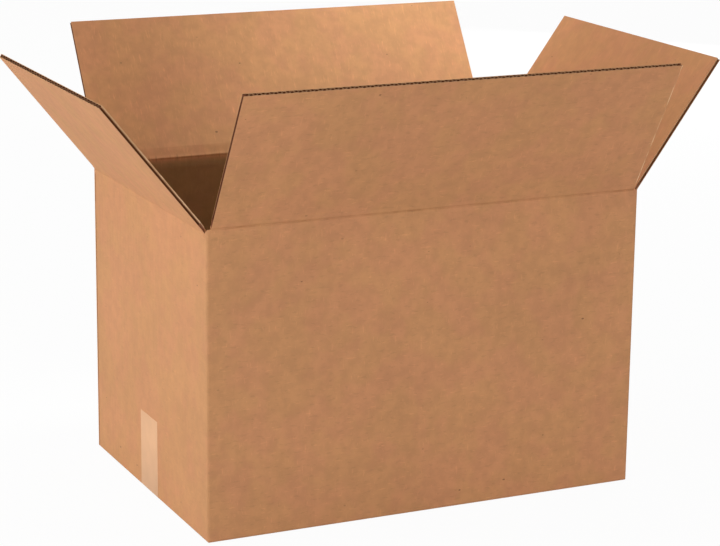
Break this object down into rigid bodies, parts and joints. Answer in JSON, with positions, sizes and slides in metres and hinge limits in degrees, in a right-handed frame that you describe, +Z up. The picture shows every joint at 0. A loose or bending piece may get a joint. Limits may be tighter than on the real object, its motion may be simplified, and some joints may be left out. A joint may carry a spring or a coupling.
{
  "type": "open cardboard box",
  "caption": "Open slotted shipping box of corrugated kraft board, its bottom folded shut and taped, with hinged top flaps that fold in to close it or right back against the walls.",
  "frame": {"origin": "middle of the underside, on the surface that the box stands on", "axes": "+Z up, +X along the long front wall to its right end, +Y from the front wall to the back wall"},
  "size_m": [0.6576, 0.4838, 0.4477],
  "materials": {
    "kraft_board": "matt brown kraft liner with fibre mottling, darker in the open flutes",
    "packing_tape": "thin tan film, satin"
  },
  "bodies": {
    "box": {"carton_body": "kraft_board", "bottom_tape": "packing_tape"},
    "front_flap": {"front_flap": "kraft_board"},
    "back_flap": {"back_flap": "kraft_board"},
    "left_flap": {"left_flap": "kraft_board"},
    "right_flap": {"right_flap": "kraft_board"}
  },
  "joints": [
    {"name": "front_crease", "type": "hinge", "parent": "box", "child": "front_flap", "pos_m": [0, -0.16, 0.308], "axis": [1, 0, 0], "range_deg": [-120, 145]},
    {"name": "back_crease", "type": "hinge", "parent": "box", "child": "back_flap", "pos_m": [0, 0.16, 0.308], "axis": [-1, 0, 0], "range_deg": [-122, 143]},
    {"name": "left_crease", "type": "hinge", "parent": "box", "child": "left_flap", "pos_m": [-0.232, 0, 0.3037], "axis": [0, -1, 0], "range_deg": [-129, 136]},
    {"name": "right_crease", "type": "hinge", "parent": "box", "child": "right_flap", "pos_m": [0.232, 0, 0.3037], "axis": [0, 1, 0], "range_deg": [-126, 139]}
  ]
}
